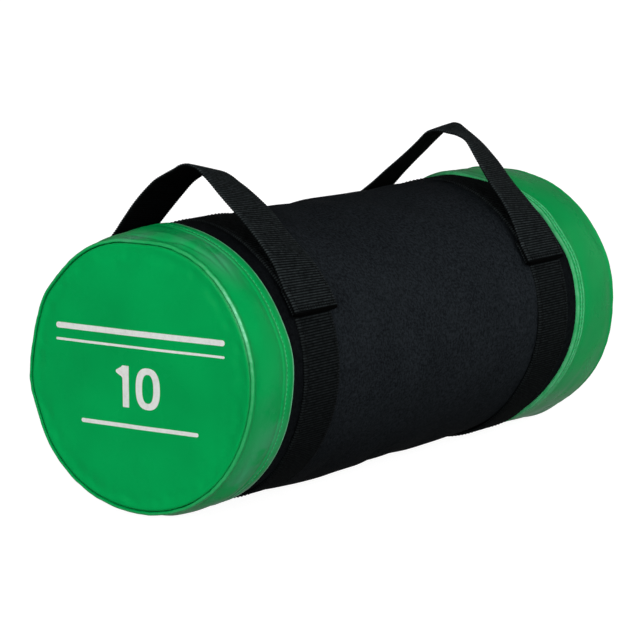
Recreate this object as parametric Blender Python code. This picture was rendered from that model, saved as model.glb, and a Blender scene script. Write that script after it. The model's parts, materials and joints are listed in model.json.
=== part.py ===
"""Fitness power bag: a padded round bag with a woven cover, vinyl caps, girth bands and webbing handles.

Lengths are in metres. X runs along the bag with the near cap at -X, -Y is its front and Z is up.
The origin is on the floor under the bag's middle, and the bag rests on the flats of its two girth bands.
"""

import math

import bmesh
import bpy
from mathutils import Vector

# Clearance between neighbours
CLEARANCE = 0.0003

# Bag
BAG_LENGTH = 0.504
COVER_RADIUS = 0.1025
COVER_THICKNESS = 0.0015
UNDERSIDE_SHARE = 0.985  # depth of the flat below the axis, out of each layer's radius

# End caps
CAP_TAPER = 0.0025  # how much smaller the rim's radius is than the cover's
VINYL_THICKNESS = 0.0012
NEAR_CAP_WIDTH = 0.043
FAR_CAP_WIDTH = 0.066
CAP_LAP = 0.012  # how far a cap side laps over the woven cover
RIM_BEND = 0.0013  # inside radius of the rounded rims
DISC_DOME = 0.002
DISC_RING_SHARES = (0, 0.5, 0.8, 1)

# Girth bands
BAND_WIDTH = 0.042
BAND_THICKNESS = 0.002
NEAR_BARE_WIDTH = 0.0175  # of the cover between the cap and the band
FAR_BARE_WIDTH = 0.0145

# Handles
HANDLE_WIDTH = 0.05
HANDLE_THICKNESS = 0.0022
NEAR_HANDLE_SHIFT = -0.001  # of the handle from its band, along +X
FAR_HANDLE_SHIFT = -0.005
LEAVE_ANGLE = math.radians(46)  # from the top of the bag down to where the strap leaves it
SEWN_LENGTH = 0.035
FOLD_LENGTH = 0.019  # of the strap's end folded under itself
CROWN_BEND = 0.022
CROWN_REACH = 0.03  # from the middle of the handle to the end of its crown
HINGE_DEPTH = 0.06  # of the hinge below the point where the straight legs would meet

# Stitching of the sewn handle ends
STITCH_INSET = 0.004
THREAD = 0.0008

# Inside of the bag
FOAM_THICKNESS = 0.008
PAD_THICKNESS = 0.01
LINER_WALL = 0.0008
LINER_CHAMFER = 0.012
NECK_RADIUS = 0.011
TIE_RADIUS = 0.0015
POCKET_CLEARANCE = 0.002

# Facets
ARC_STEPS = 42
FLAT_STEPS = 2
ROUND_STEPS = 3
STRAP_STEPS = 6
STITCH_STEPS = 5
TIE_STEPS = 8
SMOOTH_ANGLE = math.radians(35)

# Places that follow from the sizes above
HALF_LENGTH = BAG_LENGTH / 2
RIM_X = HALF_LENGTH - DISC_DOME
RIM_ROUND = RIM_BEND + VINYL_THICKNESS
NEAR_HEM_X = HALF_LENGTH - NEAR_CAP_WIDTH
FAR_HEM_X = HALF_LENGTH - FAR_CAP_WIDTH
NEAR_BAND_X = -NEAR_HEM_X + NEAR_BARE_WIDTH + BAND_WIDTH / 2
FAR_BAND_X = FAR_HEM_X - FAR_BARE_WIDTH - BAND_WIDTH / 2
NEAR_HANDLE_X = NEAR_BAND_X + NEAR_HANDLE_SHIFT
FAR_HANDLE_X = FAR_BAND_X + FAR_HANDLE_SHIFT
COVER_INSIDE = COVER_RADIUS - COVER_THICKNESS
CAP_RADIUS = COVER_RADIUS - CAP_TAPER
HEM_RADIUS = COVER_RADIUS + CLEARANCE + VINYL_THICKNESS
DISC_RADIUS = CAP_RADIUS - RIM_ROUND - CLEARANCE
DISC_FLAT_RADIUS = DISC_RADIUS - RIM_ROUND
PAD_FACE_DEPTH = VINYL_THICKNESS + CLEARANCE
PAD_INSIDE_X = RIM_X - PAD_FACE_DEPTH - PAD_THICKNESS
FILLING_END_X = PAD_INSIDE_X - CLEARANCE
FOAM_END_RADIUS = CAP_RADIUS - VINYL_THICKNESS - CLEARANCE
FOAM_INSIDE = FOAM_END_RADIUS - FOAM_THICKNESS
LINER_RADIUS = FOAM_INSIDE - CLEARANCE
TIE_RING_RADIUS = NECK_RADIUS + CLEARANCE + TIE_RADIUS
POCKET_RADIUS = TIE_RING_RADIUS + TIE_RADIUS + POCKET_CLEARANCE
BAND_INSIDE = COVER_RADIUS + CLEARANCE
BAND_OUTSIDE = BAND_INSIDE + BAND_THICKNESS
AXIS_HEIGHT = BAND_OUTSIDE * UNDERSIDE_SHARE
UNDER_LAYER_RADIUS = BAND_OUTSIDE + CLEARANCE + HANDLE_THICKNESS / 2
TOP_LAYER_RADIUS = UNDER_LAYER_RADIUS + HANDLE_THICKNESS + CLEARANCE
SEWN_END_ANGLE = LEAVE_ANGLE + SEWN_LENGTH / TOP_LAYER_RADIUS
FOLD_TOP_ANGLE = SEWN_END_ANGLE - FOLD_LENGTH / UNDER_LAYER_RADIUS
ROOF_HEIGHT = TOP_LAYER_RADIUS / math.cos(LEAVE_ANGLE)  # where the straight legs would meet
HINGE_HEIGHT = ROOF_HEIGHT - HINGE_DEPTH
STITCH_RADIUS = TOP_LAYER_RADIUS + HANDLE_THICKNESS / 2 + CLEARANCE

# Colour, roughness and metallic value of each material
FINISHES = {
    "green_vinyl": ((0.0, 0.35, 0.065, 1), 0.25, 0),
    "woven_cover": ((0.011, 0.013, 0.016, 1), 0.85, 0),
    "black_webbing": ((0.013, 0.015, 0.014, 1), 0.7, 0),
    "black_thread": ((0.02, 0.02, 0.02, 1), 0.6, 0),
    "grey_foam": ((0.25, 0.26, 0.27, 1), 0.9, 0),
    "liner_film": ((0.7, 0.72, 0.7, 1), 0.4, 0),
    "filling": ((0.3, 0.24, 0.17, 1), 0.95, 0),
    "tie_band": ((0.6, 0.6, 0.58, 1), 0.5, 0),
}


def clear_scene():
    for item in list(bpy.data.objects):
        bpy.data.objects.remove(item, do_unlink=True)


def make_material(name):
    colour, roughness, metallic = FINISHES[name]
    material = bpy.data.materials.new(name)
    material.use_nodes = True
    shader = material.node_tree.nodes["Principled BSDF"]
    shader.inputs["Base Color"].default_value = colour
    shader.inputs["Roughness"].default_value = roughness
    shader.inputs["Metallic"].default_value = metallic
    material.diffuse_color = colour
    return material


def make_empty(name, location):
    empty = bpy.data.objects.new(name, None)
    empty.location = location
    bpy.context.scene.collection.objects.link(empty)
    return empty


def make_piece(name, shape, finish, parent):
    """Turns a finished bmesh into a named object with its own material, under an empty."""
    bmesh.ops.recalc_face_normals(shape, faces=shape.faces)
    mesh = bpy.data.meshes.new(name)
    shape.to_mesh(mesh)
    shape.free()
    mesh.shade_smooth()
    mesh.set_sharp_from_angle(angle=SMOOTH_ANGLE)
    material = make_material(finish)
    material.name = name + "_" + finish
    mesh.materials.append(material)
    piece = bpy.data.objects.new(name, mesh)
    piece.parent = parent
    bpy.context.scene.collection.objects.link(piece)
    return piece


def bridge(shape, first, second):
    """Joins two rings of vertices with faces. A ring on the axis is a single vertex."""
    if len(first) == len(second) == 1:
        return
    count = max(len(first), len(second))
    for step in range(count):
        after = (step + 1) % count
        corners = [first[step % len(first)], first[after % len(first)]]
        corners += [second[after % len(second)], second[step % len(second)]]
        shape.faces.new(dict.fromkeys(corners))


def unit_section():
    """A circle of radius 1 as (y, z) points, pressed flat along its underside."""
    corner = math.acos(-UNDERSIDE_SHARE)
    half_flat = math.sin(corner)
    points = []
    for step in range(ARC_STEPS + 1):
        angle = corner * (1 - 2 * step / ARC_STEPS)
        points.append((math.sin(angle), math.cos(angle)))
    for step in range(1, FLAT_STEPS):
        points.append((half_flat * (2 * step / FLAT_STEPS - 1), -UNDERSIDE_SHARE))
    return points


def turned(profile):
    """Carries a closed profile of (x, radius) points round the bag's axis."""
    shape = bmesh.new()
    section = unit_section()
    rings = []
    for x, radius in profile:
        around = section if radius > 0 else [(0, 0)]
        rings.append([shape.verts.new((x, radius * y, radius * z)) for y, z in around])
    for ring, following in zip(rings, rings[1:] + rings[:1]):
        bridge(shape, ring, following)
    return shape


def strip(outline, middle, width):
    """A closed outline of (y, z) points carried along X."""
    shape = bmesh.new()
    sides = []
    for x in (middle - width / 2, middle + width / 2):
        sides.append([shape.verts.new((x, y, z)) for y, z in outline])
    bridge(shape, *sides)
    for side in sides:
        shape.faces.new(side)
    return shape


def offset(line, distance):
    """Moves an open line of points to its left, with mitred corners. A point on the axis stays on it."""
    normals = []
    for start, end in zip(line, line[1:]):
        along = (end - start).normalized()
        normals.append(Vector((-along.y, along.x)))
    moved = []
    for place, point in enumerate(line):
        before = normals[max(place - 1, 0)]
        after = normals[min(place, len(normals) - 1)]
        mitre = (before + after).normalized()
        shifted = point + mitre * (distance / mitre.dot(before))
        if point.y == 0:
            shifted.y = 0
        moved.append(shifted)
    return moved


def sheet(line, left, right=0):
    """The closed outline of a sheet that reaches left and right of an open line."""
    return offset(line, left) + offset(line, -right)[::-1]


def facing(side, points):
    """Turns a profile drawn for the +X end towards one end, where side is 1 or -1."""
    return [(side * x, radius) for x, radius in points]


def quarter_round(centre, radius):
    """Points from the outermost radius of a rounded rim to its foremost x."""
    points = []
    for step in range(ROUND_STEPS + 1):
        angle = math.pi / 2 * (1 - step / ROUND_STEPS)
        points.append(centre + radius * Vector((math.cos(angle), math.sin(angle))))
    return points


def on_bag(angle, radius):
    """The front point (y, z) at an angle from the top of the bag."""
    return Vector((-radius * math.sin(angle), radius * math.cos(angle)))


def rectangle(middle, width, inside, outside):
    """The profile of a plain ring."""
    low = middle - width / 2
    high = middle + width / 2
    return [(low, inside), (high, inside), (high, outside), (low, outside)]


def make_cover(parent):
    low = -NEAR_HEM_X - CAP_LAP
    high = FAR_HEM_X + CAP_LAP
    profile = rectangle((low + high) / 2, high - low, COVER_INSIDE, COVER_RADIUS)
    make_piece("body_cover", turned(profile), "woven_cover", parent)


def make_cap_side(name, side, hem_x, parent):
    """The vinyl band of a cap: it laps over the cover, narrows a little and rounds over at the rim."""
    rim_centre = Vector((RIM_X - RIM_ROUND, CAP_RADIUS - RIM_ROUND))
    outside = [Vector((hem_x, HEM_RADIUS)), Vector((hem_x + CAP_LAP, HEM_RADIUS))]
    outside += quarter_round(rim_centre, RIM_ROUND)
    profile = sheet(outside, 0, VINYL_THICKNESS)
    make_piece(name, turned(facing(side, profile)), "green_vinyl", parent)


def dome_x(share):
    """How far out the cap's domed face lies, at a share of its radius."""
    return RIM_X + DISC_DOME * (1 - share**2)


def make_cap_disc(name, side, parent):
    """The round end panel, slightly domed, with its edge turned back round the end pad."""
    rim_centre = Vector((RIM_X - RIM_ROUND, DISC_FLAT_RADIUS))
    outside = [Vector((PAD_INSIDE_X, DISC_RADIUS))]
    outside += quarter_round(rim_centre, RIM_ROUND)[:-1]
    for share in reversed(DISC_RING_SHARES):
        outside.append(Vector((dome_x(share), share * DISC_FLAT_RADIUS)))
    profile = sheet(outside, 0, VINYL_THICKNESS)
    make_piece(name, turned(facing(side, profile)), "green_vinyl", parent)


def make_end_pad(name, side, hole_radius, parent):
    """A foam disc behind a cap's face. The far one has a pocket for the neck of the inner bag."""
    profile = [(PAD_INSIDE_X, hole_radius), (PAD_INSIDE_X, DISC_FLAT_RADIUS)]
    for share in reversed(DISC_RING_SHARES):
        radius = max(share * DISC_FLAT_RADIUS, hole_radius)
        profile.append((dome_x(radius / DISC_FLAT_RADIUS) - PAD_FACE_DEPTH, radius))
    make_piece(name, turned(facing(side, profile)), "grey_foam", parent)


def make_foam_liner(parent):
    """The padding tube inside the cover. Its ends narrow with the cap sides."""
    middle = COVER_INSIDE - CLEARANCE
    profile = [
        (-FILLING_END_X, FOAM_INSIDE),
        (-FILLING_END_X, FOAM_END_RADIUS),
        (-NEAR_HEM_X - CAP_LAP, middle),
        (FAR_HEM_X + CAP_LAP, middle),
        (FILLING_END_X, FOAM_END_RADIUS),
        (FILLING_END_X, FOAM_INSIDE),
    ]
    make_piece("foam_liner", turned(profile), "grey_foam", parent)


def filled_outline(inset):
    """The outside of the filled inner bag from its near end to its shoulder, moved in by an inset."""
    end = FILLING_END_X - inset
    radius = LINER_RADIUS - inset
    shoulder = radius - LINER_CHAMFER
    turn = end - LINER_CHAMFER
    places = [(-end, 0), (-end, shoulder), (-turn, radius), (turn, radius), (end, shoulder)]
    return [Vector(place) for place in places]


def make_inner_bag(parent):
    """The inner bag has one open neck, as long as the pad that it lies in."""
    outside = filled_outline(0)
    outside.append(Vector((FILLING_END_X, NECK_RADIUS)))
    outside.append(Vector((FILLING_END_X + PAD_THICKNESS, NECK_RADIUS)))
    make_piece("inner_bag", turned(sheet(outside, 0, LINER_WALL)), "liner_film", parent)


def make_weight_fill(parent):
    inset = LINER_WALL + CLEARANCE
    profile = filled_outline(inset) + [Vector((FILLING_END_X - inset, 0))]
    make_piece("weight_fill", turned(profile), "filling", parent)


def make_neck_tie(parent):
    middle = FILLING_END_X + PAD_THICKNESS / 2
    profile = []
    for step in range(TIE_STEPS):
        angle = math.tau * step / TIE_STEPS
        x = middle + TIE_RADIUS * math.cos(angle)
        profile.append((x, TIE_RING_RADIUS + TIE_RADIUS * math.sin(angle)))
    make_piece("neck_tie", turned(profile), "tie_band", parent)


def make_girth_band(name, middle, parent):
    profile = rectangle(middle, BAND_WIDTH, BAND_INSIDE, BAND_OUTSIDE)
    make_piece(name, turned(profile), "black_webbing", parent)


def arc_on_bag(radius, start, end, steps):
    return [on_bag(start + (end - start) * step / steps, radius) for step in range(steps + 1)]


def fold_over():
    """The half turn of the strap's folded end, from its under layer to its top layer."""
    bend = (TOP_LAYER_RADIUS - UNDER_LAYER_RADIUS) / 2
    centre = on_bag(SEWN_END_ANGLE, UNDER_LAYER_RADIUS + bend)
    outward = on_bag(SEWN_END_ANGLE, 1)
    down = on_bag(SEWN_END_ANGLE + math.pi / 2, 1)
    points = []
    for step in range(1, ROUND_STEPS):
        angle = math.pi * step / ROUND_STEPS
        points.append(centre + bend * (down * math.sin(angle) - outward * math.cos(angle)))
    return points


def leg_point(along):
    """A point on the straight front leg, measured down from where the two legs would meet."""
    return Vector((0, ROOF_HEIGHT)) - along * Vector((math.cos(LEAVE_ANGLE), math.sin(LEAVE_ANGLE)))


def leg_line():
    """The middle of the strap from its folded end up to the crown, on the front of the bag."""
    line = arc_on_bag(UNDER_LAYER_RADIUS, FOLD_TOP_ANGLE, SEWN_END_ANGLE, STRAP_STEPS)
    line += fold_over()
    line += arc_on_bag(TOP_LAYER_RADIUS, SEWN_END_ANGLE, LEAVE_ANGLE, STRAP_STEPS)
    line.append(leg_point(CROWN_REACH / math.cos(LEAVE_ANGLE) + CLEARANCE))
    return line


def crown_line():
    """The middle of the strap across the top of the handle, from front to rear, above the hinge."""
    bend_centre = Vector((0, ROOF_HEIGHT - CROWN_BEND / math.cos(LEAVE_ANGLE)))
    front_end = leg_point(CROWN_REACH / math.cos(LEAVE_ANGLE))
    rear_end = Vector((-front_end.x, front_end.y))
    line = [front_end]
    for step in range(STRAP_STEPS + 1):
        angle = LEAVE_ANGLE * (1 - 2 * step / STRAP_STEPS)
        line.append(bend_centre + on_bag(angle, CROWN_BEND))
    line.append(rear_end)
    return [point - Vector((0, HINGE_HEIGHT)) for point in line]


def stitch_box(middle, side):
    """A closed box of thread that lies on the sewn end of a strap."""
    inset_angle = STITCH_INSET / STITCH_RADIUS
    high_angle = LEAVE_ANGLE + inset_angle
    low_angle = SEWN_END_ANGLE - inset_angle
    half_width = HANDLE_WIDTH / 2 - STITCH_INSET
    shape = bmesh.new()
    rings = []
    edges = ((0, 0), (0, THREAD), (THREAD, THREAD), (THREAD, 0))
    for inward, outward in edges:
        radius = STITCH_RADIUS + outward
        low_x = middle - half_width + inward
        high_x = middle + half_width - inward
        top = high_angle + inward / STITCH_RADIUS
        bottom = low_angle - inward / STITCH_RADIUS
        corners = arc_on_bag(radius, top, bottom, STITCH_STEPS)
        around = [(low_x, side * y, z) for y, z in corners]
        around += [(high_x, side * y, z) for y, z in reversed(corners)]
        rings.append([shape.verts.new(place) for place in around])
    for ring, following in zip(rings, rings[1:] + rings[:1]):
        bridge(shape, ring, following)
    return shape


def make_handle(name, middle, axis):
    """A strap sewn down at the front and rear of the bag. Its crown swings about its hinge."""
    for end, side in (("front", 1), ("rear", -1)):
        outline = sheet(leg_line(), HANDLE_THICKNESS / 2, HANDLE_THICKNESS / 2)
        outline = [(side * y, z) for y, z in outline]
        make_piece(name + "_" + end + "_leg", strip(outline, middle, HANDLE_WIDTH), "black_webbing", axis)
        make_piece(name + "_" + end + "_stitching", stitch_box(middle, side), "black_thread", axis)
    hinge = make_empty(name + "_hinge", (middle, 0, HINGE_HEIGHT))
    hinge.parent = axis
    outline = sheet(crown_line(), HANDLE_THICKNESS / 2, HANDLE_THICKNESS / 2)
    make_piece(name + "_crown", strip(outline, 0, HANDLE_WIDTH), "black_webbing", hinge)


def main():
    clear_scene()
    axis = make_empty("bag_axis", (0, 0, AXIS_HEIGHT))
    make_cover(axis)
    make_cap_side("near_cap_side", -1, NEAR_HEM_X, axis)
    make_cap_side("far_cap_side", 1, FAR_HEM_X, axis)
    make_cap_disc("near_cap_disc", -1, axis)
    make_cap_disc("far_cap_disc", 1, axis)
    make_end_pad("near_end_pad", -1, 0, axis)
    make_end_pad("far_end_pad", 1, POCKET_RADIUS, axis)
    make_foam_liner(axis)
    make_inner_bag(axis)
    make_weight_fill(axis)
    make_neck_tie(axis)
    make_girth_band("near_girth_band", NEAR_BAND_X, axis)
    make_girth_band("far_girth_band", FAR_BAND_X, axis)
    make_handle("near_handle", NEAR_HANDLE_X, axis)
    make_handle("far_handle", FAR_HANDLE_X, axis)


main()
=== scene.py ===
"""Looks of the fitness power bag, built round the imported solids.

Lengths are in metres. X runs along the bag with the near cap at -X, -Y is its front and Z is up.
Angles round the bag are in degrees from its top towards its front.
"""
import json
import math

import bpy
import numpy as np
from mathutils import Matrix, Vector


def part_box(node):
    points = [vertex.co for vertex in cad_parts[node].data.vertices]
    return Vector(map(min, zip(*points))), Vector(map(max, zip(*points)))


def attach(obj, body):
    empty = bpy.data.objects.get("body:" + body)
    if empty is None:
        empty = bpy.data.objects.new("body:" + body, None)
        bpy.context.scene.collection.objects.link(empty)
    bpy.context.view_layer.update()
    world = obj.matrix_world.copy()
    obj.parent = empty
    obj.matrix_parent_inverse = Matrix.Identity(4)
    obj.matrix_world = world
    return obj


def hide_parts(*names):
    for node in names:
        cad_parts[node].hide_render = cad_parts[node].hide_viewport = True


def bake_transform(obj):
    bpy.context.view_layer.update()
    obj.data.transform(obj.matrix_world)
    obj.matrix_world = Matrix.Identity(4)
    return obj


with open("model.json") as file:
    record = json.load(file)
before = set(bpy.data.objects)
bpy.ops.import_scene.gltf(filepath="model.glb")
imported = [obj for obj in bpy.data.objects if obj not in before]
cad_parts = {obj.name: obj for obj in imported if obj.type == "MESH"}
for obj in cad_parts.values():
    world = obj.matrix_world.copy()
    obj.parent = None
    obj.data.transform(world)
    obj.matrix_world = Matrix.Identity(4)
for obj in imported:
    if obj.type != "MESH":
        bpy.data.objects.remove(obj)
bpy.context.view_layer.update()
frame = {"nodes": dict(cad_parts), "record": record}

# Places read from the frame. BANDS and STRAPS hold where each one starts and ends along the bag.
ENDS = ("near", "far")
COVER_LOW, COVER_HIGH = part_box("body_cover")
BAND_LOW, BAND_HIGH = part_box("near_girth_band")
SIDE_LOW, SIDE_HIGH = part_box("near_cap_side")
BANDS = {name: [corner.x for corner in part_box(name + "_girth_band")] for name in ENDS}
STRAPS = {name: [corner.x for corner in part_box(name + "_handle_crown")] for name in ENDS}
COVER_RADIUS = COVER_HIGH.y
BAND_WIDTH = BAND_HIGH.x - BAND_LOW.x
BAND_OUTSIDE = BAND_HIGH.y
AXIS_HEIGHT = BAND_HIGH.z - BAND_OUTSIDE
HEM_RADIUS = SIDE_HIGH.y
END_X = -SIDE_LOW.x
DISC_DOME = -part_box("near_cap_disc")[0].x - END_X
FLAT_SHARE = AXIS_HEIGHT / BAND_OUTSIDE  # depth of each layer's flat below the axis, out of its radius

# Woven cover
COVER_RINGS = 132
COVER_STEPS = 176
COVER_WALL = 0.0012
COVER_BULGE = 0.0003  # of the cover between the bands
COVER_WAVE = 0.00025  # of the cloth before it is inflated
SEAM_ANGLE = -152  # of the cover's lengthwise lap seam, low on the rear
SEAM_HALF_WIDTH = 0.006
SEAM_RISE = 0.0009

# Foam inside the cover
FOAM_END = 0.0954  # its radius at its two ends
FOAM_GAP = 0.0003

# Cloth simulation of the cover
CLOTH_FRAMES = 20
CLOTH_SWELL = 0.0016  # the furthest that a point may move out
CLOTH_SINK = 0.0004  # the furthest that a point may move in
CLOTH_SETTINGS = {
    "quality": 6,
    "mass": 0.25,
    "tension_stiffness": 40,
    "compression_stiffness": 40,
    "shear_stiffness": 20,
    "bending_stiffness": 4,
    "shrink_min": -0.002,  # a little spare length, which puckers the cloth at its seams
    "use_pressure": True,
    "uniform_pressure_force": 4,
    "vertex_group_mass": "held",
}

# Vinyl caps. Each bump is (height in metres, middle angle, spread of angle).
HEM_WIDTH = 0.0125
HEM_STITCH = 0.0082  # from the hem's fold to its stitches
HEM_THICKNESS = 0.0021
HEM_LIP = 0.0009  # half the round of the hem's fold
HEM_STEP = 0.0008  # from the top of the hem down to the panel beside it
RIM_ROLL = 0.0021
ROLL_BEAD = 0.0007  # how far the rolled rim stands over the panel beside it
GROOVE_INSET = 0.0029  # of the rim's groove from the outline
DISC_ROLL = 0.0023
CAP_STEPS = 432
# Each cap's rim, row and fold strengths are of painted highlights: on its rolled rim, beside its stitch
# rows and along its hem's fold.
CAPS = {
    "near": {
        "side": -1,
        "width": 0.041,
        "width_bumps": ((0.014, -13, 14), (0.0025, 79, 12), (-0.003, 145, 20)),
        "hem_bumps": (),
        "rim": 0.1003,
        "rim_bumps": (
            (0.0024, -98, 10), (0.0009, -122, 9), (0.0025, -140, 26), (0.0016, -60, 9),
            (0.0009, -32, 14), (0.0012, 36, 14), (-0.0016, 112, 26), (-0.0022, 0, 12),
        ),
        "hem_rows": (HEM_STITCH,),
        "slack": 0.0003,
        "rim_highlight": 0.82,
        "row_highlight": 0.35,
        "fold_highlight": 0.75,
        "pucker": 0.0001,
        "seed": 11,
    },
    "far": {
        "side": 1,
        "width": 0.063,
        "width_bumps": ((0.021, 7, 22), (0.003, 53, 9), (0.011, 150, 38)),
        "hem_bumps": ((0.0019, -4, 26),),
        "rim": 0.102,
        "rim_bumps": (
            (0.0012, -40, 20), (-0.0006, 14, 10), (-0.0006, 52, 16),
            (-0.0009, 92, 12), (0.0008, 128, 16), (0.0007, 155, 14),
        ),
        "hem_rows": (0.0048, 0.0088),
        "slack": 0.00014,
        "rim_highlight": 0.0,
        "row_highlight": 0.4,
        "fold_highlight": 0.4,
        "pucker": 0.00007,
        "seed": 23,
    },
}

# Folds across a cap's side: (depth in metres, middle angle, half length in degrees, place between hem
# and rim, slope in places for each degree, half width in metres)
FOLDS = {
    "near": (
        (0.0011, 3, 12, 0.78, 0.004, 0.0016), (0.0009, 20, 14, 0.72, -0.006, 0.0022),
        (-0.0007, 12, 16, 0.55, 0.003, 0.0045), (0.0008, 34, 9, 0.4, 0.01, 0.003),
        (0.0006, 128, 12, 0.55, -0.008, 0.004), (0.0009, -70, 15, 0.6, 0.005, 0.003),
        (0.0008, -150, 16, 0.5, -0.004, 0.003),
    ),
    "far": (
        (-0.002, -12, 9, 0.7, 0.0, 0.004), (-0.0022, 158, 13, 0.78, 0.0, 0.013),
        (-0.0003, 8, 14, 0.45, -0.006, 0.006), (0.0004, 128, 18, 0.45, -0.004, 0.006),
        (0.0007, -100, 15, 0.6, 0.005, 0.003),
    ),
}

# Painted reflections on a cap's side, in soft grey patches: (strength, middle angle, spread of angle,
# place between hem and rim, spread of place)
PAINTED_REFLECTIONS = {
    "near": ((1.0, 27, 15, 0.55, 0.27), (1.0, -6, 7, 0.85, 0.2), (1.0, 133, 31, 0.42, 0.42)),
    "far": ((0.5, 6, 12, 0.75, 0.3), (0.15, 60, 30, 0.98, 0.05), (0.5, 150, 35, 0.6, 0.5)),
}

# Webbing
RIB_PITCH = 0.002
RIB_DEPTH = 0.0003
RIB_SAMPLES = 6
WEBBING_THICKNESS = 0.002
WEBBING_CROWN = 0.00025  # how much thicker it is at its middle than at its edges
SELVAGE_WIDTH = 0.0006  # how far its edges stand past the woven width
STITCH_INSET = 0.003
# Bumps for how far each girth band leans along the bag, and how far it stands out from its round
BAND_BUMPS = {
    "near": ((0.023, -14, 28), (-0.003, 115, 30)),
    "far": ((0.017, -12, 28), (-0.007, 130, 34)),
}
BAND_DROPS = {"near": (), "far": ((-0.0008, -12, 22),)}

# Handles. Each edge of a strap is a line of (y, z) places in millimetres from front to rear, above the
# bag's axis, and leaves the bag at an angle on its front and one on its rear.
HANDLE_THICKNESS = 0.0022
STRAP_CLEARANCE = 0.0003
SEWN_TOP_ANGLE = 46
SEWN_END_ANGLE = 64.4
FOLD_TOP_ANGLE = 54.3
HANDLE_EDGES = {
    "near": {
        "near_leave": (54, 52),
        "near_edge": (
            (-78.5, 81), (-66, 96.1), (-54.2, 107.7), (-44.9, 116.1), (-33.2, 126.3), (-23.7, 135.2),
            (-17.8, 140), (-11.5, 144.3), (-3.6, 146.4), (3.5, 145.1), (8.8, 142.1), (17, 137.9),
            (24.7, 133.7), (29.8, 129.8), (38.1, 122.1), (45.4, 114.4), (51.6, 106.8), (57.7, 99.1),
            (63.6, 91.6),
        ),
        "far_leave": (37, 50),
        "far_edge": (
            (-54.7, 96.1), (-48.8, 102.3), (-40.6, 110.4), (-30.2, 118.2), (-19.6, 125.2),
            (-12.4, 129.2), (-5.3, 133.3), (1.3, 135.6), (8.3, 136.1), (15.3, 135.8), (22.8, 131.9),
            (30.1, 126.9), (37.4, 119.7), (44.8, 112), (52.3, 104), (60, 95.6),
        ),
    },
    "far": {
        "near_leave": (57, 34),
        "near_edge": (
            (-83, 77.2), (-77.8, 86.3), (-71.1, 95.6), (-62.6, 105.7), (-49.2, 124.8), (-41.7, 135.8),
            (-37.3, 139.9), (-29.9, 142.7), (-22.1, 143.8), (-14.6, 144.8), (-8.3, 144.3),
            (-2.8, 142.4), (2.1, 138.2), (6.2, 134.2), (16, 125.6), (26.6, 117), (37.7, 108.2),
            (48, 99.6),
        ),
        "far_leave": (41, 47),
        "far_edge": (
            (-62.4, 90.9), (-50.9, 102), (-39.4, 115.1), (-31.8, 122.6), (-24.4, 129.3), (-17, 134.8),
            (-9.6, 139.6), (-5.9, 142), (-2.4, 144.3), (0.7, 145.1), (4.5, 145), (9.5, 141.8),
            (16.8, 135.5), (24.4, 128.7), (32, 121.6), (39.7, 114.7), (47.4, 107.4), (55.2, 99.7),
        ),
    },
}

# Stitches
THREAD_RADIUS = 0.00034
STITCH_PITCH = 0.0034
STITCH_LENGTH = 0.0027
STITCH_SLICES = 7
STITCH_SIDES = 8

# Print on the near face, in the face's own plane: right and up as it is seen
PRINT_RISE = 0.00014
NUMERAL_HEIGHT = 0.03
NUMERAL_LEVEL = -0.008
RULES = ((0.0, 0.031, 0.15, 0.0042), (0.0, 0.021, 0.15, 0.0018), (0.0, -0.0365, 0.105, 0.003))

# Studio. A lamp holds its turn from the front towards the near end, its rise, strength and spread.
WORLD_LIGHT = 0.07
FLOOR_COLOUR = 0.25
FLOOR_GLOW = 0.95
FLOOR_MIRRORED = 0.35  # share of the floor's glow that the bag's sheen shows
WORLD_MIRRORED = 0.1  # what the bag's sheen shows of the world beyond its light
SUNS = {
    "key": (26, 12, 2.5, 60),
    "side": (85, 11, 2.2, 50),
    "fill": (-50, 8, 0.45, 60),
    "rear": (205, 2, 0.6, 50),
    "far": (-105, 0, 1.2, 40),
}

# Camera, matched to the photograph
CAMERA_TURN = 55.43
CAMERA_RISE = 9.08
CAMERA_DISTANCE = 2.6164
CAMERA_AIM = Vector((-0.0069, 0.0122, 0.1109))
LENS = 191.25


def turned(angle, middle):
    """The angle from a middle one, between -180 and 180 degrees."""
    return (angle - middle + 180) % 360 - 180


def bump(angle, middle, spread):
    """1 at a middle angle, fading over its spread of degrees."""
    return hill(turned(angle, middle), spread)


def varied(base, bumps, angle):
    return base + sum(height * bump(angle, middle, spread) for height, middle, spread in bumps)


def hill(distance, width):
    return np.exp(-((distance / width) ** 2))


def step_up(value, start, width):
    """A smooth step from 0 to 1 that starts at a value."""
    share = np.clip((value - start) / width, 0, 1)
    return share * share * (3 - 2 * share)


def ripples(places, shortest, longest, seed, count=28):
    """Smooth random waves through space, about 1 high, read at an array of places."""
    random = np.random.default_rng(seed)
    total = np.zeros(places.shape[:-1])
    for _ in range(count):
        direction = random.normal(size=3)
        direction /= np.linalg.norm(direction)
        length = math.exp(random.uniform(math.log(shortest), math.log(longest)))
        total += np.cos(places @ direction * math.tau / length + random.uniform(0, math.tau))
    return total / math.sqrt(count / 2)


def settled(radius, angle, spare=0.0):
    """A round section's radius, pressed flat below the axis as the solids are, or a little lower."""
    depth = radius * FLAT_SHARE + spare
    soft = 0.0003
    down = -radius * np.cos(np.radians(angle))
    pressed = down - soft * np.logaddexp(0, (down - depth) / soft)
    return np.where(down > depth / 2, radius * pressed / np.maximum(down, depth / 2), radius)


def around(x, angle, radius):
    """World places from the distance along the bag, the angle round it and the radius."""
    turn = np.radians(angle)
    return stacked(x, -radius * np.sin(turn), AXIS_HEIGHT + radius * np.cos(turn))


def outward(places):
    """Unit directions from the bag's axis to world places."""
    return unit((places - (0, 0, AXIS_HEIGHT)) * (0, 1, 1))


def stacked(*parts):
    """Arrays as the parts of vectors."""
    return np.stack(np.broadcast_arrays(*parts), -1)


def all_round(count):
    """Even angles round the bag, down a column."""
    return np.linspace(-180, 180, count, endpoint=False)[:, None]


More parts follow.
